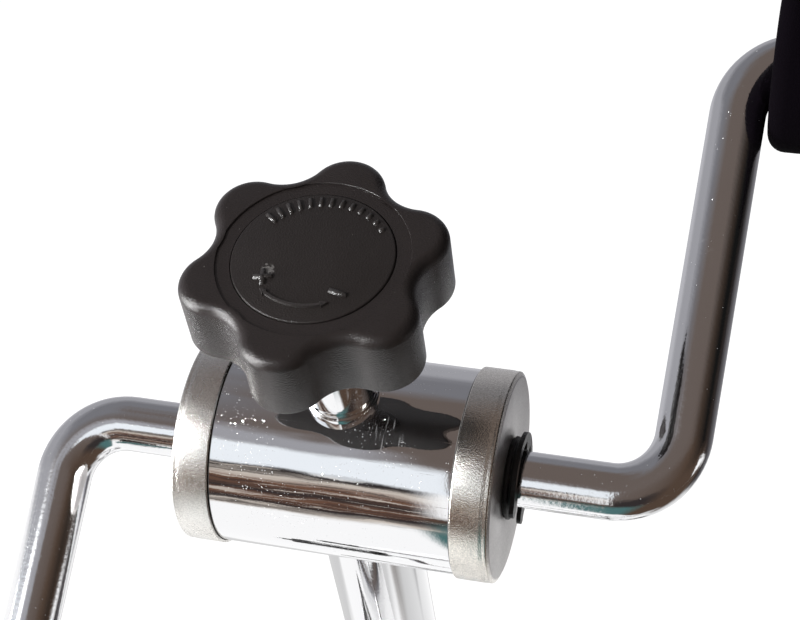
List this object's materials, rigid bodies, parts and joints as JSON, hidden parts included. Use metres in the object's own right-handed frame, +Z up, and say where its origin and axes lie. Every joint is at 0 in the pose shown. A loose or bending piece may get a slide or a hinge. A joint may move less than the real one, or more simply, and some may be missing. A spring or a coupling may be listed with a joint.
{
  "type": "arm and leg crank exerciser",
  "caption": "Free-standing exerciser: a foot-pedal crank on a short post and a hand crank on a leaning, height-adjustable mast, each braked by a star knob.",
  "frame": {"origin": "on the floor, under the middle of the base", "axes": "+Z up, +X along both crank shafts to the user's right, the user sits on the -Y side"},
  "size_m": [0.46, 0.582, 1.01],
  "materials": {
    "chrome": "mirror chrome plate",
    "satin_nickel": "satin nickel",
    "black_plastic": "fine-grained black plastic",
    "black_steel": "blackened spring steel",
    "foam": "matt closed-cell foam",
    "rubber": "matt rubber",
    "zinc_steel": "zinc plated",
    "nylon": "natural nylon"
  },
  "bodies": {
    "frame": {"front_stabiliser": "chrome", "rear_stabiliser": "chrome", "front_foot_left": "rubber", "front_foot_right": "rubber", "rear_foot_left": "rubber", "rear_foot_right": "rubber", "base_rail": "chrome", "front_bolt": "chrome", "rear_bolt": "chrome", "pedal_post": "chrome", "post_gusset": "chrome", "mast_gusset": "chrome", "mast_outer": "chrome", "mast_collar": "black_plastic", "clamp_boss": "chrome", "lower_hub_shell": "chrome", "lower_hub_cap_left": "satin_nickel", "lower_hub_cap_right": "satin_nickel", "lower_bush_left": "black_plastic", "lower_bush_right": "black_plastic", "lower_tension_boss": "chrome", "lower_brake_sleeve": "nylon"},
    "mast": {"mast_inner": "chrome", "mast_guide": "black_plastic", "upper_hub_shell": "chrome", "upper_hub_cap_left": "satin_nickel", "upper_hub_cap_right": "satin_nickel", "upper_bush_left": "black_plastic", "upper_bush_right": "black_plastic", "upper_tension_boss": "chrome", "upper_brake_sleeve": "nylon"},
    "clamp_feed": {"clamp_pad": "nylon"},
    "clamp_knob": {"clamp_screw": "zinc_steel", "clamp_knob": "black_plastic"},
    "upper_feed": {"upper_pressure_pad": "zinc_steel"},
    "upper_knob": {"upper_tension_screw": "zinc_steel", "upper_tension_knob": "black_plastic", "upper_knob_disc": "black_plastic"},
    "lower_feed": {"lower_pressure_pad": "zinc_steel"},
    "lower_knob": {"lower_tension_screw": "zinc_steel", "lower_tension_knob": "black_plastic", "lower_knob_disc": "black_plastic"},
    "upper_crank": {"upper_crank": "chrome", "upper_clip_left": "black_steel", "upper_clip_right": "black_steel", "handle_cap_left": "black_plastic", "handle_cap_right": "black_plastic"},
    "grip_left": {"foam_grip_left": "foam", "grip_sleeve_left": "black_plastic"},
    "grip_right": {"foam_grip_right": "foam", "grip_sleeve_right": "black_plastic"},
    "lower_crank": {"lower_crank": "chrome", "lower_clip_left": "black_steel", "lower_clip_right": "black_steel", "pedal_nut_left": "zinc_steel", "pedal_nut_right": "zinc_steel"},
    "pedal_left": {"pedal_left": "black_plastic", "pedal_strap_left": "rubber"},
    "pedal_right": {"pedal_right": "black_plastic", "pedal_strap_right": "rubber"}
  },
  "joints": [
    {"name": "mast_height", "type": "slide", "parent": "frame", "child": "mast", "axis": [0, -0.4031, 0.9152], "range_m": [-0.12, 0.08]},
    {"name": "clamp_feed", "type": "slide", "parent": "frame", "child": "clamp_feed", "axis": [0, 0.9152, 0.4031], "range_m": [0, 0.00375]},
    {"name": "clamp_turn", "type": "hinge", "parent": "clamp_feed", "child": "clamp_knob", "pos_m": [0, 0.01347, 0.47559], "axis": [0, 0.9152, 0.4031], "range_deg": [0, 1081]},
    {"name": "upper_feed", "type": "slide", "parent": "mast", "child": "upper_feed", "axis": [0, -0.4031, 0.9152], "range_m": [-0.00125, 0.0025]},
    {"name": "upper_tension_turn", "type": "hinge", "parent": "upper_feed", "child": "upper_knob", "pos_m": [0, -0.20167, 0.96406], "axis": [0, -0.4031, 0.9152], "range_deg": [-361, 721]},
    {"name": "lower_feed", "type": "slide", "parent": "frame", "child": "lower_feed", "axis": [0, 0, 1], "range_m": [-0.00125, 0.0025]},
    {"name": "lower_tension_turn", "type": "hinge", "parent": "lower_feed", "child": "lower_knob", "pos_m": [0, -0.04, 0.32], "axis": [0, 0, 1], "range_deg": [-361, 721]},
    {"name": "upper_crank_turn", "type": "hinge", "parent": "mast", "child": "upper_crank", "pos_m": [0, -0.17346, 0.9], "axis": [1, 0, 0], "continuous": true},
    {"name": "grip_left_spin", "type": "hinge", "parent": "upper_crank", "child": "grip_left", "pos_m": [0, -0.24535, 0.81288], "axis": [1, 0, 0], "continuous": true},
    {"name": "grip_right_spin", "type": "hinge", "parent": "upper_crank", "child": "grip_right", "pos_m": [0, -0.10157, 0.98712], "axis": [1, 0, 0], "continuous": true},
    {"name": "lower_crank_turn", "type": "hinge", "parent": "frame", "child": "lower_crank", "pos_m": [0, -0.04, 0.25], "axis": [1, 0, 0], "continuous": true},
    {"name": "pedal_left_spin", "type": "hinge", "parent": "lower_crank", "child": "pedal_left", "pos_m": [0, -0.15295, 0.25], "axis": [1, 0, 0], "continuous": true},
    {"name": "pedal_right_spin", "type": "hinge", "parent": "lower_crank", "child": "pedal_right", "pos_m": [0, 0.07295, 0.25], "axis": [1, 0, 0], "continuous": true}
  ],
  "couplings": [
    {"joint": "clamp_turn", "follows": "clamp_feed", "rad_per_m": 5026.5},
    {"joint": "upper_tension_turn", "follows": "upper_feed", "rad_per_m": 5026.5},
    {"joint": "lower_tension_turn", "follows": "lower_feed", "rad_per_m": 5026.5}
  ]
}
